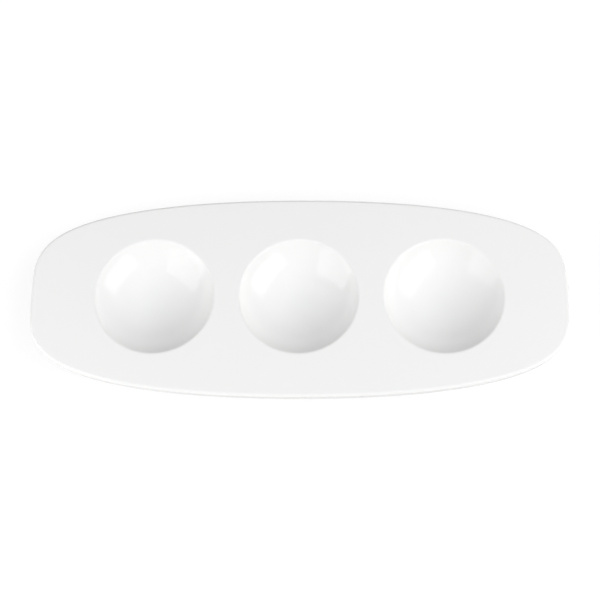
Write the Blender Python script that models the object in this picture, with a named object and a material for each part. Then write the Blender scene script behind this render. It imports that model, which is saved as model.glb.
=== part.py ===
"""Serving plate in white glazed porcelain, with three round wells sunk into a flat deck.

Units are metres. The plate stands on z = 0, with X along its length and Y across it.
"""

import math

import bmesh
import bpy
import numpy as np

# Wells, from the left end to the right end of the plate
WELL_NAMES = ("left", "centre", "right")
WELL_LIP_RADIUS = 0.0378
WELL_LIP_FILLET = 0.0024
WELL_DEPTH = 0.0168
WELL_WALL = 0.0048
WELL_WEB = 0.0131
UNDER_FILLET = 0.0060

# Deck round the wells, with a rounded edge
END_MARGIN = 0.0385
SIDE_MARGIN = 0.0262
END_EXPONENT = 2.15
SIDE_EXPONENT = 3.70
EDGE_TOP_RADIUS = 0.0020
EDGE_LAND = 0.0025
EDGE_BOTTOM_RADIUS = 0.0020

# Foot under each well: a glazed root above the glaze line and a bare ground ring below it
FOOT_RADIUS = 0.0210
FOOT_WIDTH = 0.0040
FOOT_ROOT_FILLET = 0.0025
RECESS_FILLET = 0.0008
GLAZED_LAND = 0.0006
BARE_HEIGHT = 0.0012
BARE_EDGE_RADIUS = 0.0005
SEAT_GAP = 0.0003

# Facets
OUTLINE_SEGMENTS = 128
TURN_SEGMENTS = 48
EDGE_STEPS = 4
LIP_STEPS = 4
BOWL_STEPS = 7
UNDERSIDE_STEPS = 3
SMALL_STEPS = 2
OUTLINE_SAMPLES = 4000
LEVEL_TOLERANCE = 1e-6
SMOOTH_ANGLE = math.radians(30)

# Finishes
GLAZE_COLOUR = (0.86, 0.86, 0.855)
GLAZE_ROUGHNESS = 0.08
BARE_COLOUR = (0.74, 0.72, 0.68)
BARE_ROUGHNESS = 0.75

# Sizes that follow from the ones above
WELL_PITCH = 2 * WELL_LIP_RADIUS + WELL_WEB
HALF_LENGTH = (len(WELL_NAMES) - 1) / 2 * WELL_PITCH + WELL_LIP_RADIUS + END_MARGIN
HALF_WIDTH = WELL_LIP_RADIUS + SIDE_MARGIN
DECK_THICKNESS = EDGE_TOP_RADIUS + EDGE_LAND + EDGE_BOTTOM_RADIUS
FOOT_INNER_RADIUS = FOOT_RADIUS - FOOT_WIDTH / 2
FOOT_OUTER_RADIUS = FOOT_RADIUS + FOOT_WIDTH / 2
GLAZE_LINE = BARE_HEIGHT + SEAT_GAP
RECESS_HEIGHT = GLAZE_LINE + GLAZED_LAND + RECESS_FILLET
DECK_HEIGHT = RECESS_HEIGHT + WELL_WALL + WELL_DEPTH
UNDERSIDE_HEIGHT = DECK_HEIGHT - DECK_THICKNESS

# The bowl is part of a sphere that meets the lip fillet without a crease
BOWL_RADIUS = (WELL_LIP_RADIUS**2 + WELL_DEPTH**2) / (2 * WELL_DEPTH) - WELL_LIP_FILLET
BOWL_CENTRE_HEIGHT = DECK_HEIGHT - WELL_DEPTH + BOWL_RADIUS
OUTER_BOWL_RADIUS = BOWL_RADIUS + WELL_WALL


def clear_scene():
    """Remove every object from the file."""
    for old in list(bpy.data.objects):
        bpy.data.objects.remove(old, do_unlink=True)


def porcelain(name, colour, roughness):
    """Return a Principled material with one colour and roughness."""
    material = bpy.data.materials.new(name)
    material.use_nodes = True
    shader = material.node_tree.nodes["Principled BSDF"]
    shader.inputs["Base Color"].default_value = (*colour, 1.0)
    shader.inputs["Roughness"].default_value = roughness
    shader.inputs["Metallic"].default_value = 0.0
    return material


def arc(centre, radius, start, end, steps):
    """Return points (r, z) on an arc from one angle to another, both ends included."""
    angles = np.linspace(start, end, steps + 1)
    return [(centre[0] + radius * math.cos(a), centre[1] + radius * math.sin(a)) for a in angles]


def outline(inset):
    """Return the plate's outline, moved in along its normals, as points (x, y).

    The outline is |x / half length|^END_EXPONENT + |y / half width|^SIDE_EXPONENT = 1. One quarter is
    divided into equal lengths, and the rest are its mirror images.
    """
    turn = np.linspace(0.0, math.pi / 2, OUTLINE_SAMPLES)
    x = HALF_LENGTH * np.abs(np.cos(turn)) ** (2 / END_EXPONENT)
    y = HALF_WIDTH * np.abs(np.sin(turn)) ** (2 / SIDE_EXPONENT)
    x[-1] = 0.0
    run = np.concatenate(([0.0], np.cumsum(np.hypot(np.diff(x), np.diff(y)))))
    stops = np.linspace(0.0, run[-1], OUTLINE_SEGMENTS // 4 + 1)
    x = np.interp(stops, run, x)
    y = np.interp(stops, run, y)
    normal_x = END_EXPONENT / HALF_LENGTH * (x / HALF_LENGTH) ** (END_EXPONENT - 1)
    normal_y = SIDE_EXPONENT / HALF_WIDTH * (y / HALF_WIDTH) ** (SIDE_EXPONENT - 1)
    size = np.hypot(normal_x, normal_y)
    x = x - inset * normal_x / size
    y = y - inset * normal_y / size
    quarter = list(zip(x, y))
    half = quarter + [(-px, py) for px, py in reversed(quarter[:-1])]
    return half + [(px, -py) for px, py in reversed(half[1:-1])]


def edge_profile():
    """Return the rounded edge of the deck as (inset, z), from the deck down to the underside."""
    top = DECK_HEIGHT - EDGE_TOP_RADIUS
    bottom = UNDERSIDE_HEIGHT + EDGE_BOTTOM_RADIUS
    upper = arc((EDGE_TOP_RADIUS, top), EDGE_TOP_RADIUS, math.pi / 2, math.pi, EDGE_STEPS)
    lower = arc((EDGE_BOTTOM_RADIUS, bottom), EDGE_BOTTOM_RADIUS, math.pi, 3 * math.pi / 2, EDGE_STEPS)
    return upper + lower


def well_profile():
    """Return the inside of a well as (r, z), from the deck down to the middle of the bowl."""
    slope = math.asin(WELL_LIP_RADIUS / (BOWL_RADIUS + WELL_LIP_FILLET))
    lip_centre = (WELL_LIP_RADIUS, DECK_HEIGHT - WELL_LIP_FILLET)
    lip = arc(lip_centre, WELL_LIP_FILLET, math.pi / 2, math.pi / 2 + slope, LIP_STEPS)
    bowl_centre = (0.0, BOWL_CENTRE_HEIGHT)
    bowl = arc(bowl_centre, BOWL_RADIUS, slope - math.pi / 2, -math.pi / 2, BOWL_STEPS)
    return lip + bowl[1:]


def underside_profile():
    """Return the outside of a well as (r, z), from the deck's underside to the middle of the recess."""
    root_height = UNDERSIDE_HEIGHT - UNDER_FILLET
    reach = OUTER_BOWL_RADIUS + UNDER_FILLET
    root_radius = math.sqrt(reach**2 - (BOWL_CENTRE_HEIGHT - root_height) ** 2)
    slope = math.asin(root_radius / reach)
    root_centre = (root_radius, root_height)
    root = arc(root_centre, UNDER_FILLET, math.pi / 2, math.pi / 2 + slope, UNDERSIDE_STEPS)

    foot_reach = OUTER_BOWL_RADIUS + FOOT_ROOT_FILLET
    foot_radius = FOOT_OUTER_RADIUS + FOOT_ROOT_FILLET
    foot_slope = math.asin(foot_radius / foot_reach)
    foot_centre = (foot_radius, BOWL_CENTRE_HEIGHT - foot_reach * math.cos(foot_slope))
    bowl_centre = (0.0, BOWL_CENTRE_HEIGHT)
    start = slope - math.pi / 2
    end = foot_slope - math.pi / 2
    bowl = arc(bowl_centre, OUTER_BOWL_RADIUS, start, end, UNDERSIDE_STEPS)
    foot_root = arc(foot_centre, FOOT_ROOT_FILLET, math.pi / 2 + foot_slope, math.pi, SMALL_STEPS)

    seat = [(FOOT_OUTER_RADIUS, GLAZE_LINE), (FOOT_INNER_RADIUS, GLAZE_LINE)]
    recess_centre = (FOOT_INNER_RADIUS - RECESS_FILLET, RECESS_HEIGHT - RECESS_FILLET)
    recess = arc(recess_centre, RECESS_FILLET, 0.0, math.pi / 2, SMALL_STEPS)
    return root + bowl[1:] + foot_root[1:] + seat + recess + [(0.0, RECESS_HEIGHT)]


def foot_ring_profile():
    """Return the closed section of a bare foot ring as (r, z), standing on z = 0."""
    inner = (FOOT_INNER_RADIUS + BARE_EDGE_RADIUS, BARE_EDGE_RADIUS)
    outer = (FOOT_OUTER_RADIUS - BARE_EDGE_RADIUS, BARE_EDGE_RADIUS)
    inner_edge = arc(inner, BARE_EDGE_RADIUS, math.pi, 3 * math.pi / 2, SMALL_STEPS)
    outer_edge = arc(outer, BARE_EDGE_RADIUS, -math.pi / 2, 0.0, SMALL_STEPS)
    return inner_edge + outer_edge + [(FOOT_OUTER_RADIUS, BARE_HEIGHT), (FOOT_INNER_RADIUS, BARE_HEIGHT)]


def add_ring(mesh, r, z, centre_x):
    """Add a circle of vertices, or one vertex where the radius is nothing."""
    if r == 0.0:
        return [mesh.verts.new((centre_x, 0.0, z))] * TURN_SEGMENTS
    turns = [2 * math.pi * i / TURN_SEGMENTS for i in range(TURN_SEGMENTS)]
    return [mesh.verts.new((centre_x + r * math.cos(t), r * math.sin(t), z)) for t in turns]


def skin(mesh, first, second):
    """Join two closed rows of vertices with faces, leaving out the corners that fall together."""
    for i in range(len(first)):
        corners = [first[i - 1], first[i], second[i], second[i - 1]]
        mesh.faces.new(list(dict.fromkeys(corners)))


def turn_profile(mesh, profile, centre_x, closed=False):
    """Turn a profile of (r, z) points about the upright axis at centre_x."""
    rings = [add_ring(mesh, r, z, centre_x) for r, z in profile]
    for first, second in zip(rings, rings[1:]):
        skin(mesh, first, second)
    if closed:
        skin(mesh, rings[-1], rings[0])


def fill_level(mesh, height):
    """Close the flat face at one height, between the outline and the openings of the wells."""
    border = [e for e in mesh.edges if e.is_boundary]
    rim = [e for e in border if abs(e.verts[0].co.z - height) < LEVEL_TOLERANCE]
    bmesh.ops.triangle_fill(mesh, edges=rim, use_beauty=True)


def add_object(name, mesh, material, parent):
    """Turn a bmesh into a named, smooth-shaded object under the plate's empty."""
    bmesh.ops.recalc_face_normals(mesh, faces=mesh.faces)
    data = bpy.data.meshes.new(name)
    mesh.to_mesh(data)
    mesh.free()
    data.shade_smooth()
    data.set_sharp_from_angle(angle=SMOOTH_ANGLE)
    data.materials.append(material)
    piece = bpy.data.objects.new(name, data)
    piece.parent = parent
    bpy.context.scene.collection.objects.link(piece)
    return piece


def well_positions():
    """Return each well's name and its place along the plate."""
    middle = (len(WELL_NAMES) - 1) / 2
    return [(name, (i - middle) * WELL_PITCH) for i, name in enumerate(WELL_NAMES)]


def build_plate_body(parent):
    """Build the glazed body: rounded edge, flat deck, wells and the glazed roots of the feet."""
    mesh = bmesh.new()
    loops = []
    for inset, z in edge_profile():
        loops.append([mesh.verts.new((x, y, z)) for x, y in outline(inset)])
    for upper, lower in zip(loops, loops[1:]):
        skin(mesh, upper, lower)
    for _, x in well_positions():
        turn_profile(mesh, well_profile(), x)
        turn_profile(mesh, underside_profile(), x)
    fill_level(mesh, DECK_HEIGHT)
    fill_level(mesh, UNDERSIDE_HEIGHT)
    glaze = porcelain("glazed_porcelain", GLAZE_COLOUR, GLAZE_ROUGHNESS)
    return add_object("plate_body", mesh, glaze, parent)


def build_foot_ring(name, x, material, parent):
    """Build the bare ring that one well stands on."""
    mesh = bmesh.new()
    turn_profile(mesh, foot_ring_profile(), 0.0, closed=True)
    ring = add_object(f"foot_ring_{name}", mesh, material, parent)
    ring.location.x = x
    return ring


def main():
    """Build the plate."""
    clear_scene()
    plate = bpy.data.objects.new("plate", None)
    bpy.context.scene.collection.objects.link(plate)
    build_plate_body(plate)
    bare = porcelain("bare_porcelain", BARE_COLOUR, BARE_ROUGHNESS)
    for name, x in well_positions():
        build_foot_ring(name, x, bare, plate)
    print(f"plate {2 * HALF_LENGTH:.4f} x {2 * HALF_WIDTH:.4f} x {DECK_HEIGHT:.4f} m")


main()
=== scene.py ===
"""Looks of a white porcelain serving plate with three round wells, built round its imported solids.

Units are metres. X runs along the plate, Y across it and Z up, and the plate stands on z = 0.
"""

import logging
import math
from dataclasses import dataclass, field
from enum import Enum
from typing import Iterable

import bpy
import numpy as np
from mathutils import Matrix, Quaternion, Vector, geometry, noise


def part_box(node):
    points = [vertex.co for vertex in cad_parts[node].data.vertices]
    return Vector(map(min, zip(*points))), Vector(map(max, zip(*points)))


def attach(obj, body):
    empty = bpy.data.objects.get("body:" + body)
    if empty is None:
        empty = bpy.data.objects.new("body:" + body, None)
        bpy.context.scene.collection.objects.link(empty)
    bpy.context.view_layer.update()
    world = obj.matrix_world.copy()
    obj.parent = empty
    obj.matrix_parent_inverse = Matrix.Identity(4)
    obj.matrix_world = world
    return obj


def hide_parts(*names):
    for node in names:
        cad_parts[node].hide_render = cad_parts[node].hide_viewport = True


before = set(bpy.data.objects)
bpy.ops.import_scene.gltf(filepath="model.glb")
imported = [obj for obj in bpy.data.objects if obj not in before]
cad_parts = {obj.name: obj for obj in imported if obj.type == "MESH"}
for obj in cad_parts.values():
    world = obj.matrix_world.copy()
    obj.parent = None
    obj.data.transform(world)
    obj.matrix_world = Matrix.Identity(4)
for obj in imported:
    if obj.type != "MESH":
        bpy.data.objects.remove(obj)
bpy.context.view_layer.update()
BODY = "root"
GLAZE_ATTRIBUTE = "glaze_depth"
GLAZE_THIN = -1.0
GLAZE_EVEN = 0.0
GLAZE_POOLED = 1.0
FLAT_TOLERANCE = 1e-9
MM_PER_METRE = 1000
LOG = logging.getLogger("plate")

Tone = tuple[float, float, float]
Station = tuple[float, float, float]
Value = bpy.types.NodeSocket | float | Tone


class Place(Enum):
    """A well and its foot, named by where it lies along the plate."""

    LEFT = "left"
    CENTRE = "centre"
    RIGHT = "right"

    @property
    def ring_node(self) -> str:
        """Name of the bare foot ring's solid."""
        return f"foot_ring_{self.value}"


class Slot(Enum):
    """Material slots of the record."""

    GLAZED = "glazed_porcelain"
    BARE = "bare_porcelain"


class Effect(Enum):
    """Surface effects that both kinds of porcelain share."""

    CLOUDING = "kiln_clouding"
    SPECKS = "clay_specks"
    RELIEF = "skin_relief"


@dataclass
class NodeSheet:
    """A node tree with short ways to add and join nodes."""

    tree: bpy.types.NodeTree

    def add(
        self,
        kind: str,
        inputs: dict[str | int, Value] | None = None,
        **settings: object,
    ) -> bpy.types.Node:
        """Add a node.

        Args:
            kind: Blender's name of the node type.
            inputs: Sockets to join to, or values to set, by input name or number.
            settings: Properties of the node, such as its operation.

        Returns:
            The new node.
        """
        node = self.tree.nodes.new(kind)
        for name, setting in settings.items():
            setattr(node, name, setting)
        for name, value in (inputs or {}).items():
            self.feed(node.inputs[name], value)
        return node

    def feed(self, socket: bpy.types.NodeSocket, value: Value) -> None:
        """Join a socket to another, or set its value.

        Args:
            socket: The input to fill.
            value: The output to join it to, a number or a colour.
        """
        if isinstance(value, bpy.types.NodeSocket):
            self.tree.links.new(value, socket)
        elif socket.type == "RGBA":
            socket.default_value = (*value, 1.0)
        else:
            socket.default_value = value

    def math(self, operation: str, first: Value, second: Value = 0.0) -> bpy.types.NodeSocket:
        """Add a Math node and return its result.

        Args:
            operation: Blender's name of the operation.
            first: Its first number.
            second: Its second number, where the operation has one.

        Returns:
            The output socket.
        """
        return self.add("ShaderNodeMath", {0: first, 1: second}, operation=operation).outputs[0]

    def ramp(self, value: Value, low: float, high: float, start: float, end: float) -> bpy.types.NodeSocket:
        """Map a value smoothly from one range to another.

        Args:
            value: What is mapped.
            low: Value that gives start.
            high: Value that gives end.
            start: Result at low and below.
            end: Result at high and above.

        Returns:
            The output socket.
        """
        inputs = {"Value": value, "From Min": low, "From Max": high, "To Min": start, "To Max": end}
        node = self.add("ShaderNodeMapRange", inputs, interpolation_type="SMOOTHSTEP")
        return node.outputs["Result"]

    def blend(self, factor: Value, first: Value, second: Value) -> bpy.types.NodeSocket:
        """Mix two colours.

        Args:
            factor: Share of the second colour.
            first: The first colour.
            second: The second colour.

        Returns:
            The output socket.
        """
        node = self.add("ShaderNodeMix", {"Factor": factor}, data_type="RGBA")
        colours = [socket for socket in node.inputs if socket.type == "RGBA"]
        self.feed(colours[0], first)
        self.feed(colours[1], second)
        return next(socket for socket in node.outputs if socket.type == "RGBA")

    def place(self) -> bpy.types.NodeSocket:
        """Return coordinates in metres that stay with the piece."""
        return self.add("ShaderNodeTexCoord").outputs["Object"]


class Effects:
    """The shared effects, each a node group that is built once."""

    noise_low: float = 0.3
    noise_high: float = 0.7
    cloud_detail: float = 3.0
    cloud_roughness: float = 0.55

    def __init__(self) -> None:
        """Build every group."""
        self.groups: dict[Effect, bpy.types.NodeTree] = {
            Effect.CLOUDING: self.clouding(),
            Effect.SPECKS: self.specks(),
            Effect.RELIEF: self.relief(),
        }

    @staticmethod
    def group(
        effect: Effect, inputs: dict[str, float | Tone], outputs: dict[str, str]
    ) -> tuple[NodeSheet, bpy.types.Node, bpy.types.Node]:
        """Make an empty group with its sockets.

        Args:
            effect: Which effect it is.
            inputs: Input names with their usual values.
            outputs: Output names with their socket types.

        Returns:
            The group's sheet, its input node and its output node.
        """
        tree = bpy.data.node_groups.new(effect.value, "ShaderNodeTree")
        for name, value in inputs.items():
            kind = "NodeSocketFloat" if isinstance(value, float) else "NodeSocketColor"
            socket = tree.interface.new_socket(name, in_out="INPUT", socket_type=kind)
            socket.default_value = value if isinstance(value, float) else (*value, 1.0)
        for name, kind in outputs.items():
            tree.interface.new_socket(name, in_out="OUTPUT", socket_type=kind)
        sheet = NodeSheet(tree)
        return sheet, sheet.add("NodeGroupInput"), sheet.add("NodeGroupOutput")

    def clouding(self) -> bpy.types.NodeTree:
        """Return the group for slow drifts of tone that firing leaves."""
        inputs = {"Tone": (0.8, 0.8, 0.8), "Drift Tone": (0.7, 0.7, 0.7), "Scale": 20.0, "Amount": 0.5}
        outputs = {"Tone": "NodeSocketColor", "Cloud": "NodeSocketFloat"}
        sheet, given, result = self.group(Effect.CLOUDING, inputs, outputs)
        drift = sheet.add(
            "ShaderNodeTexNoise",
            {
                "Vector": sheet.place(),
                "Scale": given.outputs["Scale"],
                "Detail": self.cloud_detail,
                "Roughness": self.cloud_roughness,
            },
        )
        cloud = sheet.ramp(drift.outputs["Fac"], self.noise_low, self.noise_high, 0.0, 1.0)
        share = sheet.math("MULTIPLY", cloud, given.outputs["Amount"])
        tone = sheet.blend(share, given.outputs["Tone"], given.outputs["Drift Tone"])
        sheet.feed(result.inputs["Tone"], tone)
        sheet.feed(result.inputs["Cloud"], cloud)
        return sheet.tree

    def specks(self) -> bpy.types.NodeTree:
        """Return the group for rare dark specks that lie in the clay."""
        inputs = {"Spacing": 0.01, "Size": 0.0002, "Share": 0.2}
        sheet, given, result = self.group(Effect.SPECKS, inputs, {"Mask": "NodeSocketFloat"})
        per_metre = sheet.math("DIVIDE", 1.0, given.outputs["Spacing"])
        cells = sheet.add("ShaderNodeTexVoronoi", {"Vector": sheet.place(), "Scale": per_metre})
        reach = sheet.math("MULTIPLY", given.outputs["Size"], per_metre)
        inside = sheet.math("LESS_THAN", cells.outputs["Distance"], reach)
        lot = sheet.add("ShaderNodeSeparateColor", {"Color": cells.outputs["Color"]}).outputs["Red"]
        chosen = sheet.math("LESS_THAN", lot, given.outputs["Share"])
        sheet.feed(result.inputs["Mask"], sheet.math("MULTIPLY", inside, chosen))
        return sheet.tree

    def relief(self) -> bpy.types.NodeTree:
        """Return the group for the small hills and hollows of a fired surface."""
        inputs = {"Wavelength": 0.005, "Rise": 0.00001, "Detail": 2.0}
        outputs = {"Height": "NodeSocketFloat", "Level": "NodeSocketFloat"}
        sheet, given, result = self.group(Effect.RELIEF, inputs, outputs)
        per_metre = sheet.math("DIVIDE", 1.0, given.outputs["Wavelength"])
        hills = sheet.add(
            "ShaderNodeTexNoise",
            {"Vector": sheet.place(), "Scale": per_metre, "Detail": given.outputs["Detail"]},
        )
        height = sheet.math("MULTIPLY", hills.outputs["Fac"], given.outputs["Rise"])
        sheet.feed(result.inputs["Height"], height)
        sheet.feed(result.inputs["Level"], hills.outputs["Fac"])
        return sheet.tree

    def put(self, sheet: NodeSheet, effect: Effect, inputs: dict[str | int, Value]) -> bpy.types.Node:
        """Place an effect in a material.

        Args:
            sheet: The material's nodes.
            effect: Which effect.
            inputs: Its values in this material.

        Returns:
            The group node.
        """
        node = sheet.add("ShaderNodeGroup", node_tree=self.groups[effect])
        for name, value in inputs.items():
            sheet.feed(node.inputs[name], value)
        return node


def new_material(name: str) -> tuple[bpy.types.Material, NodeSheet, bpy.types.Node]:
    """Make a material with a Principled shader.

    Args:
        name: The material's name.

    Returns:
        The material, its nodes and its Principled shader.
    """
    material = bpy.data.materials.new(name)
    material.use_nodes = True
    sheet = NodeSheet(material.node_tree)
    return material, sheet, material.node_tree.nodes["Principled BSDF"]


@dataclass(frozen=True)
class GlazeFinish:
    """Clear gloss glaze over white porcelain, deeper where it pools and thin along edges."""

    slot: Slot = Slot.GLAZED
    tone: Tone = (0.862, 0.862, 0.860)
    pooled_tone: Tone = (0.848, 0.853, 0.853)
    thin_tone: Tone = (0.868, 0.864, 0.856)
    clouded_tone: Tone = (0.852, 0.853, 0.853)
    cloud_scale: float = 22.0
    cloud_amount: float = 0.5
    speck_tone: Tone = (0.52, 0.50, 0.47)
    speck_spacing: float = 0.011
    speck_size: float = 0.00013
    speck_share: float = 0.12
    roughness: float = 0.012
    uneven_roughness: float = 0.012
    ripple_length: float = 0.0085
    ripple_rise: float = 0.000010
    ripple_detail: float = 1.0
    index: float = 1.5

    def material(self, effects: Effects) -> bpy.types.Material:
        """Make the glaze.

        Args:
            effects: The shared effects.

        Returns:
            The material.
        """
        material, sheet, shader = new_material(self.slot.value)
        depth = sheet.add("ShaderNodeAttribute", attribute_name=GLAZE_ATTRIBUTE).outputs["Fac"]
        pooled = sheet.ramp(depth, GLAZE_EVEN, GLAZE_POOLED, 0.0, 1.0)
        thin = sheet.ramp(depth, GLAZE_EVEN, GLAZE_THIN, 0.0, 1.0)
        tone = sheet.blend(pooled, self.tone, self.pooled_tone)
        tone = sheet.blend(thin, tone, self.thin_tone)
        clouding = {
            "Tone": tone,
            "Drift Tone": self.clouded_tone,
            "Scale": self.cloud_scale,
            "Amount": self.cloud_amount,
        }
        cloud = effects.put(sheet, Effect.CLOUDING, clouding)
        specks = {"Spacing": self.speck_spacing, "Size": self.speck_size, "Share": self.speck_share}
        speck = effects.put(sheet, Effect.SPECKS, specks)
        tone = sheet.blend(speck.outputs["Mask"], cloud.outputs["Tone"], self.speck_tone)
        ripples = {
            "Wavelength": self.ripple_length,
            "Rise": self.ripple_rise,
            "Detail": self.ripple_detail,
        }
        ripple = effects.put(sheet, Effect.RELIEF, ripples)
        bump = sheet.add("ShaderNodeBump", {"Height": ripple.outputs["Height"], "Distance": 1.0})
        rougher = self.roughness + self.uneven_roughness
        gloss = sheet.ramp(cloud.outputs["Cloud"], 0.0, 1.0, self.roughness, rougher)
        sheet.feed(shader.inputs["Base Color"], tone)
        sheet.feed(shader.inputs["Roughness"], gloss)
        sheet.feed(shader.inputs["IOR"], self.index)
        sheet.feed(shader.inputs["Normal"], bump.outputs["Normal"])
        return material


@dataclass(frozen=True)
class BareFinish:
    """Unglazed porcelain, ground flat where it stands on the table."""

    slot: Slot = Slot.BARE
    tone: Tone = (0.740, 0.722, 0.684)
    clouded_tone: Tone = (0.655, 0.630, 0.580)
    cloud_scale: float = 160.0
    cloud_amount: float = 0.65
    speck_tone: Tone = (0.33, 0.28, 0.23)
    speck_spacing: float = 0.0022
    speck_size: float = 0.00012
    speck_share: float = 0.35
    roughness: float = 0.62
    uneven_roughness: float = 0.22
    grain_length: float = 0.00035
    grain_rise: float = 0.00004
    grain_detail: float = 4.0
    groove_tone: Tone = (0.60, 0.585, 0.555)
    grooves_per_metre: float = 2600.0
    groove_rise: float = 0.000025
    groove_share: float = 0.35
    groove_detail: float = 2.0
    groove_low: float = 0.5
    groove_high: float = 0.75

    def material(self, effects: Effects) -> bpy.types.Material:
        """Make the bare clay.

        Args:
            effects: The shared effects.

        Returns:
            The material.
        """
        material, sheet, shader = new_material(self.slot.value)
        clouding = {
            "Tone": self.tone,
            "Drift Tone": self.clouded_tone,
            "Scale": self.cloud_scale,
            "Amount": self.cloud_amount,
        }
        cloud = effects.put(sheet, Effect.CLOUDING, clouding)
        groove = self.grooves(sheet)
        worn = sheet.math("MULTIPLY", groove, self.groove_share)
        tone = sheet.blend(worn, cloud.outputs["Tone"], self.groove_tone)
        specks = {"Spacing": self.speck_spacing, "Size": self.speck_size, "Share": self.speck_share}
        speck = effects.put(sheet, Effect.SPECKS, specks)
        tone = sheet.blend(speck.outputs["Mask"], tone, self.speck_tone)
        grains = {"Wavelength": self.grain_length, "Rise": self.grain_rise, "Detail": self.grain_detail}
        grain = effects.put(sheet, Effect.RELIEF, grains)
        cut = sheet.math("MULTIPLY", groove, -self.groove_rise)
        height = sheet.math("ADD", grain.outputs["Height"], cut)
        bump = sheet.add("ShaderNodeBump", {"Height": height, "Distance": 1.0})
        rougher = self.roughness + self.uneven_roughness
        level = grain.outputs["Level"]
        matt = sheet.ramp(level, effects.noise_low, effects.noise_high, self.roughness, rougher)
        sheet.feed(shader.inputs["Base Color"], tone)
        sheet.feed(shader.inputs["Roughness"], matt)
        sheet.feed(shader.inputs["Normal"], bump.outputs["Normal"])
        return material

    def grooves(self, sheet: NodeSheet) -> bpy.types.NodeSocket:
        """Return a mask of the fine rings that grinding leaves round the foot.

        Args:
            sheet: The material's nodes.

        Returns:
            The mask's socket.
        """
        spot = sheet.add("ShaderNodeSeparateXYZ", {"Vector": sheet.place()})
        across = sheet.math("MULTIPLY", spot.outputs["X"], spot.outputs["X"])
        along = sheet.math("MULTIPLY", spot.outputs["Y"], spot.outputs["Y"])
        radius = sheet.math("SQRT", sheet.math("ADD", across, along))
        lines = sheet.add(
            "ShaderNodeTexNoise",
            {"W": radius, "Scale": self.grooves_per_metre, "Detail": self.groove_detail},
            noise_dimensions="1D",
        )
        return sheet.ramp(lines.outputs["Fac"], self.groove_low, self.groove_high, 0.0, 1.0)


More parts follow.
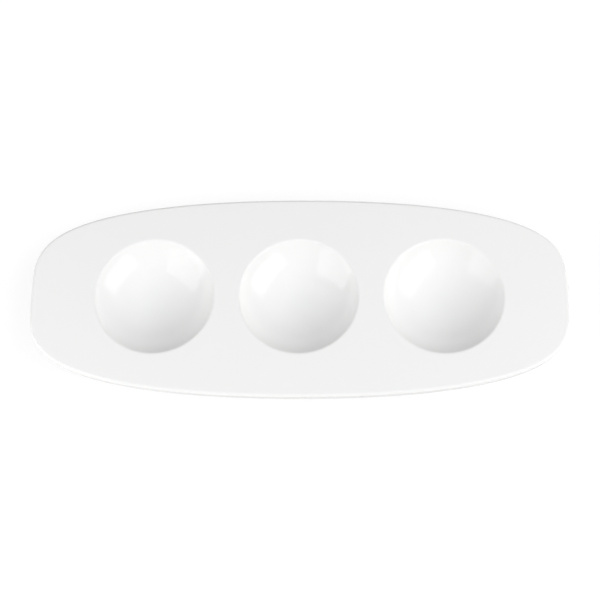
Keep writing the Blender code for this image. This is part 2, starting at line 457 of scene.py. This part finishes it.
@dataclass
class Shell:
    """A mesh in the making: points, faces, and how deep the glaze lies at each point."""

    points: list[Vector] = field(default_factory=list)
    faces: list[tuple[int, ...]] = field(default_factory=list)
    glaze: list[float] = field(default_factory=list)

    def add_row(self, points: Iterable[Vector], glaze: float) -> list[int]:
        """Add points.

        Args:
            points: Their places.
            glaze: Depth of glaze on them, from -1 for thin to 1 for pooled.

        Returns:
            Their numbers.
        """
        first = len(self.points)
        self.points.extend(points)
        last = len(self.points)
        self.glaze.extend([glaze] * (last - first))
        return list(range(first, last))

    def join_rows(self, rows: list[list[int]], closed: bool = False) -> None:
        """Join closed rows of equal length with strips of faces.

        The faces look up where the rows run inwards, and out where they run upwards.

        Args:
            rows: The rows, one after another, each anticlockwise from above.
            closed: Whether the last row joins the first.
        """
        following = rows[1:] + rows[:1] if closed else rows[1:]
        for first, second in zip(rows, following):
            for i in range(len(first)):
                corners = (first[i - 1], first[i], second[i], second[i - 1])
                self.faces.append(tuple(dict.fromkeys(corners)))

    def turn(self, profile: list[Station], centre: Vector, segments: int) -> list[list[int]]:
        """Turn a profile about an upright axis.

        Args:
            profile: Stations of radius, height and glaze.
            centre: A point on the axis, at height nought.
            segments: Steps in a full turn.

        Returns:
            The rows of points, in the profile's order.
        """
        angles = [2 * math.pi * i / segments for i in range(segments)]
        rows = []
        for radius, height, glaze in profile:
            if radius == 0.0:
                tip = self.add_row([centre + Vector((0.0, 0.0, height))], glaze)
                rows.append(tip * segments)
                continue
            ring = [Vector((radius * math.cos(a), radius * math.sin(a), height)) for a in angles]
            rows.append(self.add_row([centre + p for p in ring], glaze))
        return rows

    def fill_flat(self, outer: list[int], holes: list[list[int]], spacing: float, upwards: bool) -> None:
        """Fill a level face between an outline and round holes with even triangles.

        Args:
            outer: The outline's points.
            holes: The points round each hole.
            spacing: Distance between the points that are added inside.
            upwards: Whether the face looks up.
        """
        borders = [outer, *holes]
        numbers = [i for row in borders for i in row]
        owner = [k for k, row in enumerate(borders) for _ in row]
        flat = [self.points[i].xy for i in numbers]
        edges = []
        for row in borders:
            start = len(edges)
            edges += [(start + i, start + (i + 1) % len(row)) for i in range(len(row))]
        height = self.points[outer[0]].z
        inner = self.points_between(borders, spacing)
        numbers += self.add_row([Vector((x, y, height)) for x, y in inner], GLAZE_EVEN)
        owner += [-1] * len(inner)
        mesh = geometry.delaunay_2d_cdt(flat + inner, edges, [], 1, FLAT_TOLERANCE)
        _, _, triangles, sources, _, _ = mesh
        for triangle in triangles:
            corners = [sources[i][0] for i in (triangle if upwards else reversed(triangle))]
            owners = {owner[c] for c in corners}
            if len(owners) > 1 or owners & {0, -1}:
                self.faces.append(tuple(numbers[c] for c in corners))

    def points_between(self, borders: list[list[int]], spacing: float) -> list[Vector]:
        """Return an even spread of points inside the first border and outside the others.

        Args:
            borders: The outline, then the holes.
            spacing: Distance between neighbours.

        Returns:
            The points.
        """
        rims = [np.array([self.points[i].xy for i in row]) for row in borders]
        low = rims[0].min(0)
        high = rims[0].max(0)
        row_height = spacing * math.sqrt(3) / 2
        found = []
        for j in range(int((high[1] - low[1]) / row_height) + 1):
            for i in range(int((high[0] - low[0]) / spacing) + 1):
                spot = Vector((low[0] + (i + 0.5 * (j % 2)) * spacing, low[1] + j * row_height))
                inside = [self.is_inside(spot, rim) for rim in rims]
                clear = min(np.hypot(*(rim - np.array(spot)).T).min() for rim in rims) > spacing / 2
                if inside[0] and not any(inside[1:]) and clear:
                    found.append(spot)
        return found

    @staticmethod
    def is_inside(spot: Vector, rim: np.ndarray) -> bool:
        """Tell whether a point lies inside a convex rim.

        Args:
            spot: The point.
            rim: The rim's points, anticlockwise.

        Returns:
            True where it lies inside.
        """
        edge = np.roll(rim, -1, 0) - rim
        reach = np.array(spot) - rim
        return bool(np.all(edge[:, 0] * reach[:, 1] - edge[:, 1] * reach[:, 0] > 0.0))

    def piece(self, name: str, sharp_angle: float) -> bpy.types.Object:
        """Turn the points and faces into a smooth-shaded object.

        Args:
            name: The object's name.
            sharp_angle: Edges that bend more than this stay sharp.

        Returns:
            The object.
        """
        data = bpy.data.meshes.new(name)
        data.from_pydata(self.points, [], self.faces)
        data.shade_smooth()
        data.set_sharp_from_angle(angle=sharp_angle)
        depth = data.attributes.new(GLAZE_ATTRIBUTE, "FLOAT", "POINT")
        depth.data.foreach_set("value", self.glaze)
        piece = bpy.data.objects.new(name, data)
        bpy.context.scene.collection.objects.link(piece)
        return piece


def arc(
    centre: tuple[float, float],
    radius: float,
    angles: tuple[float, float],
    steps: int,
    glaze: tuple[float, float] = (GLAZE_EVEN, GLAZE_EVEN),
) -> list[Station]:
    """Return stations along an arc, both ends included.

    Args:
        centre: The arc's centre, as radius from the axis and height.
        radius: The arc's own radius.
        angles: Where it starts and ends.
        steps: Number of steps.
        glaze: Depth of glaze at its start and end.

    Returns:
        Stations of radius, height and glaze.
    """
    turns = np.linspace(*angles, steps + 1)
    depths = np.linspace(*glaze, steps + 1)
    return [
        (centre[0] + radius * math.cos(a), centre[1] + radius * math.sin(a), float(g))
        for a, g in zip(turns, depths)
    ]


@dataclass
class PlateBody:
    """The glazed body: deck, rounded edge, three wells and the roots of their feet."""

    half_length: float
    half_width: float
    deck_height: float
    well_centres: list[Vector]
    foot_inner_radius: float
    foot_outer_radius: float
    glaze_line: float
    end_exponent: float = 2.15
    side_exponent: float = 3.70
    edge_top_radius: float = 0.0020
    edge_land: float = 0.0025
    edge_bottom_radius: float = 0.0020
    lip_radius: float = 0.0378
    lip_fillet: float = 0.0024
    well_depth: float = 0.0168
    well_wall: float = 0.0048
    under_fillet: float = 0.0060
    foot_root_fillet: float = 0.0025
    recess_fillet: float = 0.0008
    bead_radius: float = 0.0003
    bead_proud: float = 0.0001
    seat_clearance: float = 0.0003
    guard: float = 0.0004
    slump: float = 0.00005
    slump_length: float = 0.050
    outline_segments: int = 480
    outline_samples: int = 8000
    turn_segments: int = 192
    edge_steps: int = 14
    lip_steps: int = 14
    bowl_steps: int = 36
    under_steps: int = 12
    bead_steps: int = 6
    grid: float = 0.0060
    sharp_angle: float = math.radians(70)
    lip_glaze: float = -0.7
    root_glaze: float = 0.8
    foot_glaze: float = 0.9
    bead_glaze: float = 0.6
    recess_glaze: float = 0.5
    recess_floor_glaze: float = 0.2
    bead_reach: float = math.radians(60)

    @classmethod
    def from_frame(cls) -> "PlateBody":
        """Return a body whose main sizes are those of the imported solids."""
        low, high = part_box("plate_body")
        centres = []
        for place in Place:
            ring_low, ring_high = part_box(place.ring_node)
            centres.append(Vector(((ring_low.x + ring_high.x) / 2, 0.0, 0.0)))
        outer = (ring_high.x - ring_low.x) / 2
        return cls(high.x, high.y, high.z, centres, outer - FootRing.width, outer, low.z)

    @property
    def underside_height(self) -> float:
        """Height of the deck's underside."""
        return self.deck_height - self.edge_top_radius - self.edge_land - self.edge_bottom_radius

    @property
    def bowl_radius(self) -> float:
        """Radius of the sphere that meets the lip fillet without a crease."""
        return (self.lip_radius**2 + self.well_depth**2) / (2 * self.well_depth) - self.lip_fillet

    @property
    def bowl_centre_height(self) -> float:
        """Height of that sphere's centre."""
        return self.deck_height - self.well_depth + self.bowl_radius

    @property
    def recess_height(self) -> float:
        """Height of the recess inside the foot."""
        return self.deck_height - self.well_depth - self.well_wall

    def outline(self, inset: float) -> list[tuple[float, float]]:
        """Return the plate's outline, moved in along its normals, anticlockwise.

        Args:
            inset: How far it is moved in.

        Returns:
            Points (x, y) at equal steps along |x / length|^end + |y / width|^side = 1.
        """
        turn = np.linspace(0.0, math.pi / 2, self.outline_samples)
        x = self.half_length * np.abs(np.cos(turn)) ** (2 / self.end_exponent)
        y = self.half_width * np.abs(np.sin(turn)) ** (2 / self.side_exponent)
        x[-1] = 0.0
        run = np.concatenate(([0.0], np.cumsum(np.hypot(np.diff(x), np.diff(y)))))
        stops = np.linspace(0.0, run[-1], self.outline_segments // 4 + 1)
        x = np.interp(stops, run, x)
        y = np.interp(stops, run, y)
        normal_x = self.end_exponent / self.half_length * (x / self.half_length) ** (self.end_exponent - 1)
        normal_y = self.side_exponent / self.half_width * (y / self.half_width) ** (self.side_exponent - 1)
        size = np.hypot(normal_x, normal_y)
        quarter = list(zip(x - inset * normal_x / size, y - inset * normal_y / size))
        half = quarter + [(-px, py) for px, py in reversed(quarter[:-1])]
        return half + [(px, -py) for px, py in reversed(half[1:-1])]

    def edge_profile(self) -> list[Station]:
        """Return the rounded edge as stations of inset, height and glaze, from the deck to the underside."""
        top = (self.edge_top_radius, self.deck_height - self.edge_top_radius)
        bottom = (self.edge_bottom_radius, self.underside_height + self.edge_bottom_radius)
        start = [(self.edge_top_radius + self.guard, self.deck_height, GLAZE_EVEN)]
        turn = (math.pi / 2, math.pi)
        upper = arc(top, self.edge_top_radius, turn, self.edge_steps, (GLAZE_EVEN, GLAZE_THIN))
        turn = (math.pi, 3 * math.pi / 2)
        lower = arc(bottom, self.edge_bottom_radius, turn, self.edge_steps, (GLAZE_THIN, GLAZE_EVEN))
        end = [(self.edge_bottom_radius + self.guard, self.underside_height, GLAZE_EVEN)]
        return start + upper + lower + end

    def well_profile(self) -> list[Station]:
        """Return the inside of a well as stations, from the deck to the middle of the bowl."""
        slope = math.asin(self.lip_radius / (self.bowl_radius + self.lip_fillet))
        start = [(self.lip_radius + self.guard, self.deck_height, GLAZE_EVEN)]
        lip_centre = (self.lip_radius, self.deck_height - self.lip_fillet)
        turn = (math.pi / 2, math.pi / 2 + slope)
        lip = arc(lip_centre, self.lip_fillet, turn, self.lip_steps, (GLAZE_EVEN, self.lip_glaze))
        bowl_centre = (0.0, self.bowl_centre_height)
        sweep = (slope - math.pi / 2, -math.pi / 2)
        depths = (self.lip_glaze, GLAZE_POOLED)
        bowl = arc(bowl_centre, self.bowl_radius, sweep, self.bowl_steps, depths)
        return start + lip + bowl[1:-1] + [(0.0, self.deck_height - self.well_depth, GLAZE_POOLED)]

    def underside_profile(self) -> list[Station]:
        """Return the outside of a well as stations, from the underside to the middle of the recess."""
        root_height = self.underside_height - self.under_fillet
        outer_bowl = self.bowl_radius + self.well_wall
        reach = outer_bowl + self.under_fillet
        root_radius = math.sqrt(reach**2 - (self.bowl_centre_height - root_height) ** 2)
        slope = math.asin(root_radius / reach)
        start = [(root_radius + self.guard, self.underside_height, GLAZE_EVEN)]
        turn = (math.pi / 2, math.pi / 2 + slope)
        depths = (GLAZE_EVEN, self.root_glaze)
        root = arc((root_radius, root_height), self.under_fillet, turn, self.under_steps, depths)

        foot_reach = outer_bowl + self.foot_root_fillet
        foot_radius = self.foot_outer_radius + self.foot_root_fillet
        foot_slope = math.asin(foot_radius / foot_reach)
        foot_centre = (foot_radius, self.bowl_centre_height - foot_reach * math.cos(foot_slope))
        sweep = (slope - math.pi / 2, foot_slope - math.pi / 2)
        depths = (self.root_glaze, GLAZE_EVEN)
        bowl = arc((0.0, self.bowl_centre_height), outer_bowl, sweep, self.under_steps, depths)
        turn = (math.pi / 2 + foot_slope, math.pi)
        depths = (GLAZE_EVEN, self.foot_glaze)
        foot = arc(foot_centre, self.foot_root_fillet, turn, self.bead_steps, depths)
        return start + root + bowl[1:] + foot[1:] + self.seat_profile() + self.recess_profile()

    def seat_profile(self) -> list[Station]:
        """Return the two beads in which the glaze ends, with the bare seat between them."""
        sunk = self.bead_radius - self.bead_proud
        level = self.glaze_line + self.bead_radius
        seat = self.glaze_line + self.seat_clearance
        outer = self.foot_outer_radius - sunk
        inner = self.foot_inner_radius + sunk
        outer_turn = (self.bead_reach, -math.pi / 2)
        inner_turn = (-math.pi / 2, -math.pi - self.bead_reach)
        depths = (self.bead_glaze, self.bead_glaze)
        outer_bead = arc((outer, level), self.bead_radius, outer_turn, self.bead_steps, depths)
        inner_bead = arc((inner, level), self.bead_radius, inner_turn, self.bead_steps, depths)
        return outer_bead + [(outer, seat, GLAZE_EVEN), (inner, seat, GLAZE_EVEN)] + inner_bead

    def recess_profile(self) -> list[Station]:
        """Return the recess inside the foot, from its wall to its middle."""
        centre = (self.foot_inner_radius - self.recess_fillet, self.recess_height - self.recess_fillet)
        depths = (self.recess_glaze, self.recess_glaze)
        corner = arc(centre, self.recess_fillet, (0.0, math.pi / 2), self.bead_steps, depths)
        start = (centre[0] - self.guard, self.recess_height, self.recess_floor_glaze)
        return corner + [start, (0.0, self.recess_height, GLAZE_EVEN)]

    def settle(self, shell: Shell) -> None:
        """Let the body sag and swell a little, as fired clay does, above its foot.

        Args:
            shell: The mesh, whose points are moved.
        """
        for point in shell.points:
            rise = self.slump * point.z / self.deck_height
            point.z += rise * (noise.noise(point / self.slump_length) - 1.0)

    def build(self) -> bpy.types.Object:
        """Build the body as one closed mesh.

        Returns:
            The object.
        """
        shell = Shell()
        edge = []
        for inset, height, glaze in self.edge_profile():
            loop = [Vector((x, y, height)) for x, y in self.outline(inset)]
            edge.append(shell.add_row(loop, glaze))
        shell.join_rows(edge[::-1])
        mouths = []
        roots = []
        for centre in self.well_centres:
            well = shell.turn(self.well_profile(), centre, self.turn_segments)
            under = shell.turn(self.underside_profile(), centre, self.turn_segments)
            shell.join_rows(well)
            shell.join_rows(under[::-1])
            mouths.append(well[0])
            roots.append(under[0])
        shell.fill_flat(edge[0], mouths, self.grid, upwards=True)
        shell.fill_flat(edge[-1], roots, self.grid, upwards=False)
        self.settle(shell)
        return shell.piece("glazed_plate", self.sharp_angle)

    def dress(self, piece: bpy.types.Object, material: bpy.types.Material, finish: GlazeFinish) -> None:
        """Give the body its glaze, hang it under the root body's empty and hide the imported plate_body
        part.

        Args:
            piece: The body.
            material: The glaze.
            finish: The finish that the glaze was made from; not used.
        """
        piece.data.materials.append(material)
        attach(piece, BODY)
        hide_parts("plate_body")


@dataclass
class FootRing:
    """The bare ground ring that one well stands on."""

    place: Place
    centre: Vector
    outer_radius: float
    top: float
    width: float = 0.0040
    edge_radius: float = 0.0005
    edge_steps: int = 6
    land_steps: int = 4
    turn_segments: int = 192
    sharp_angle: float = math.radians(50)

    @classmethod
    def from_frame(cls, place: Place, top: float) -> "FootRing":
        """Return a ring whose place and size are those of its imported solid.

        Args:
            place: Which well it is under.
            top: Height at which it meets the glazed body.

        Returns:
            The ring.
        """
        low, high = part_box(place.ring_node)
        centre = Vector(((low.x + high.x) / 2, (low.y + high.y) / 2, 0.0))
        return cls(place, centre, (high.x - low.x) / 2, top)

    def profile(self) -> list[Station]:
        """Return the ring's closed section, from the top of its inner wall, under it, to its outer wall."""
        inner_radius = self.outer_radius - self.width
        inner = (inner_radius + self.edge_radius, self.edge_radius)
        outer = (self.outer_radius - self.edge_radius, self.edge_radius)
        inner_edge = arc(inner, self.edge_radius, (math.pi, 3 * math.pi / 2), self.edge_steps)
        outer_edge = arc(outer, self.edge_radius, (-math.pi / 2, 0.0), self.edge_steps)
        across = np.linspace(inner[0], outer[0], self.land_steps + 1)[1:-1]
        land = [(float(r), 0.0, GLAZE_EVEN) for r in across]
        walls = [(self.outer_radius, self.top, GLAZE_EVEN), (inner_radius, self.top, GLAZE_EVEN)]
        return inner_edge + land + outer_edge + walls

    def build(self) -> bpy.types.Object:
        """Build the ring about its own axis and set it in its place.

        Returns:
            The object.
        """
        shell = Shell()
        rows = shell.turn(self.profile(), Vector(), self.turn_segments)
        shell.join_rows(rows, closed=True)
        piece = shell.piece(f"bare_foot_{self.place.value}", self.sharp_angle)
        piece.location = self.centre
        return piece

    def dress(self, piece: bpy.types.Object, material: bpy.types.Material, finish: BareFinish) -> None:
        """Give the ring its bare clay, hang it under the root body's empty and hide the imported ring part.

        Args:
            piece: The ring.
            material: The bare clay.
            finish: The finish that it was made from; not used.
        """
        piece.data.materials.append(material)
        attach(piece, BODY)
        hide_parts(self.place.ring_node)


@dataclass
class PhotoCamera:
    """A camera at the photograph's viewing angle."""

    target: Vector
    azimuth: float = math.radians(4.45)
    elevation: float = math.radians(70.5)
    roll: float = math.radians(-4.26)
    distance: float = 0.80
    lens: float = 78.45
    sensor: float = 36.0
    slide_right: float = 0.00080
    slide_up: float = -0.00268

    def build(self) -> bpy.types.Object:
        """Place the camera and make it the scene's own.

        Returns:
            The camera.
        """
        level = Vector((math.cos(self.azimuth), math.sin(self.azimuth), 0.0))
        front = Vector((math.sin(self.azimuth), -math.cos(self.azimuth), 0.0))
        back = front * math.cos(self.elevation) + Vector((0.0, 0.0, math.sin(self.elevation)))
        upright = back.cross(level)
        right = math.cos(self.roll) * level + math.sin(self.roll) * upright
        up = math.cos(self.roll) * upright - math.sin(self.roll) * level
        data = bpy.data.cameras.new("photo_camera")
        data.sensor_width = self.sensor
        data.lens = self.lens
        camera = bpy.data.objects.new("photo_camera", data)
        stand = Matrix((right, up, back)).transposed().to_4x4()
        slide = right * self.slide_right + up * self.slide_up
        stand.translation = self.target + slide + back * self.distance
        camera.matrix_world = stand
        bpy.context.scene.collection.objects.link(camera)
        bpy.context.scene.camera = camera
        return camera


@dataclass(frozen=True)
class Softbox:
    """A flat studio lamp that faces the plate.

    Its radiance is the brightness of its face, and 1 is white. A lamp that isn't mirrored lights the plate
    without showing in the glaze, as if it stood behind a polarising film.
    """

    name: str
    direction: tuple[float, float, float]
    distance: float
    width: float
    height: float
    roll: float
    radiance: float
    is_mirrored: bool

    def build(self, target: Vector) -> bpy.types.Object:
        """Place the lamp.

        Args:
            target: The point that it faces.

        Returns:
            The lamp.
        """
        lamp = bpy.data.lights.new(self.name, "AREA")
        lamp.shape = "RECTANGLE"
        lamp.size = self.width
        lamp.size_y = self.height
        lamp.energy = math.pi * self.width * self.height * self.radiance
        towards = Vector(self.direction).normalized()
        holder = bpy.data.objects.new(self.name, lamp)
        holder.location = target + towards * self.distance
        upright = (-towards).to_track_quat("-Z", "Y")
        holder.rotation_euler = (upright @ Quaternion((0.0, 0.0, 1.0), self.roll)).to_euler()
        holder.visible_glossy = self.is_mirrored
        bpy.context.scene.collection.objects.link(holder)
        return holder


@dataclass
class Studio:
    """White sweep, two softboxes, three filtered banks and dim surroundings."""

    target: Vector
    softboxes: tuple[Softbox, ...] = (
        Softbox("key_softbox", (0.72, -0.33, 0.61), 1.05, 1.17, 0.48, math.radians(-9.5), 1.70, True),
        Softbox("left_softbox", (-0.81, -0.38, 0.45), 0.65, 0.61, 0.44, math.radians(30), 1.30, True),
        Softbox("right_bank", (0.766, 0.0, 0.643), 3.00, 2.40, 2.40, 0.0, 2.82, False),
        Softbox("front_bank", (0.25, -0.433, 0.866), 3.00, 2.40, 2.40, 0.0, 1.21, False),
        Softbox("left_bank", (-0.852, -0.397, 0.342), 3.00, 2.40, 2.40, 0.0, 2.36, False),
    )
    surround: float = 0.20
    floor_tone: Tone = (0.66, 0.66, 0.66)
    shadow_share: float = 0.20
    near_white: float = 0.83
    near_radius: float = 0.30
    far_radius: float = 1.50
    floor_radius: float = 4.0
    sweep_radius: float = 5.0
    sweep_angle: float = math.radians(47)
    sweep_steps: int = 12
    floor_segments: int = 96

    def light(self) -> None:
        """Place the lamps and give the surroundings a dim even glow."""
        for softbox in self.softboxes:
            softbox.build(self.target)
        world = bpy.data.worlds.new("studio")
        world.use_nodes = True
        bpy.context.scene.world = world
        background = world.node_tree.nodes["Background"]
        background.inputs["Color"].default_value = (1.0, 1.0, 1.0, 1.0)
        background.inputs["Strength"].default_value = self.surround

    def floor(self) -> bpy.types.Object:
        """Build the round sweep that the plate stands on.

        Returns:
            The floor.
        """
        sweep_centre = (self.floor_radius, self.sweep_radius)
        rise = (-math.pi / 2, -math.pi / 2 + self.sweep_angle)
        rim = arc(sweep_centre, self.sweep_radius, rise, self.sweep_steps)
        profile = [*rim[::-1], (0.0, 0.0, GLAZE_EVEN)]
        shell = Shell()
        shell.join_rows(shell.turn(profile, Vector(), self.floor_segments))
        floor = shell.piece("sweep", math.pi)
        floor.data.materials.append(self.floor_material())
        return floor

    def floor_material(self) -> bpy.types.Material:
        """Make a pale floor that is white to the eye and in reflections, apart from the plate's shadow.

        Returns:
            The material.
        """
        material = bpy.data.materials.new("sweep")
        material.use_nodes = True
        # The white is only looked at. Sampled as a lamp, it would light nothing and add noise.
        material.cycles.emission_sampling = "NONE"
        sheet = NodeSheet(material.node_tree)
        material.node_tree.nodes.remove(material.node_tree.nodes["Principled BSDF"])
        pale = sheet.add("ShaderNodeBsdfDiffuse", {"Color": self.floor_tone})
        away = sheet.add("ShaderNodeVectorMath", {0: sheet.place()}, operation="LENGTH").outputs["Value"]
        white = sheet.ramp(away, self.near_radius, self.far_radius, self.near_white, 1.0)
        glow = sheet.add("ShaderNodeEmission", {"Strength": white})
        shade = sheet.add("ShaderNodeBsdfDiffuse", {"Color": (self.shadow_share,) * 3})
        seen = sheet.add("ShaderNodeAddShader", {0: glow.outputs[0], 1: shade.outputs[0]})
        path = sheet.add("ShaderNodeLightPath")
        looks = sheet.math("MAXIMUM", path.outputs["Is Camera Ray"], path.outputs["Is Glossy Ray"])
        looks = sheet.math("MAXIMUM", looks, path.outputs["Is Transmission Ray"])
        mixed = sheet.add("ShaderNodeMixShader", {0: looks, 1: pale.outputs[0], 2: seen.outputs[0]})
        hole = sheet.add("ShaderNodeBsdfTransparent")
        below = sheet.add("ShaderNodeNewGeometry").outputs["Backfacing"]
        whole = sheet.add("ShaderNodeMixShader", {0: below, 1: mixed.outputs[0], 2: hole.outputs[0]})
        sheet.feed(material.node_tree.nodes["Material Output"].inputs["Surface"], whole.outputs[0])
        return material


def report(piece: bpy.types.Object) -> None:
    """Log a piece's name and size.

    Args:
        piece: The piece.
    """
    size = [MM_PER_METRE * side for side in piece.dimensions]
    LOG.info("%s: %.1f x %.1f x %.1f mm, %d faces", piece.name, *size, len(piece.data.polygons))


def main() -> None:
    """Build, dress and light the plate, and report each piece."""
    logging.basicConfig(level=logging.INFO, format="%(message)s")
    bpy.context.scene.view_settings.view_transform = "Standard"
    effects = Effects()

    body = PlateBody.from_frame()
    glaze = GlazeFinish()
    plate = body.build()
    body.dress(plate, glaze.material(effects), glaze)
    report(plate)

    bare = BareFinish()
    clay = bare.material(effects)
    for place in Place:
        foot = FootRing.from_frame(place, body.glaze_line)
        ring = foot.build()
        foot.dress(ring, clay, bare)
        report(ring)

    deck_centre = Vector((0.0, 0.0, body.deck_height))
    PhotoCamera(deck_centre).build()
    studio = Studio(deck_centre)
    studio.light()
    report(studio.floor())


if __name__ == "__main__":
    main()
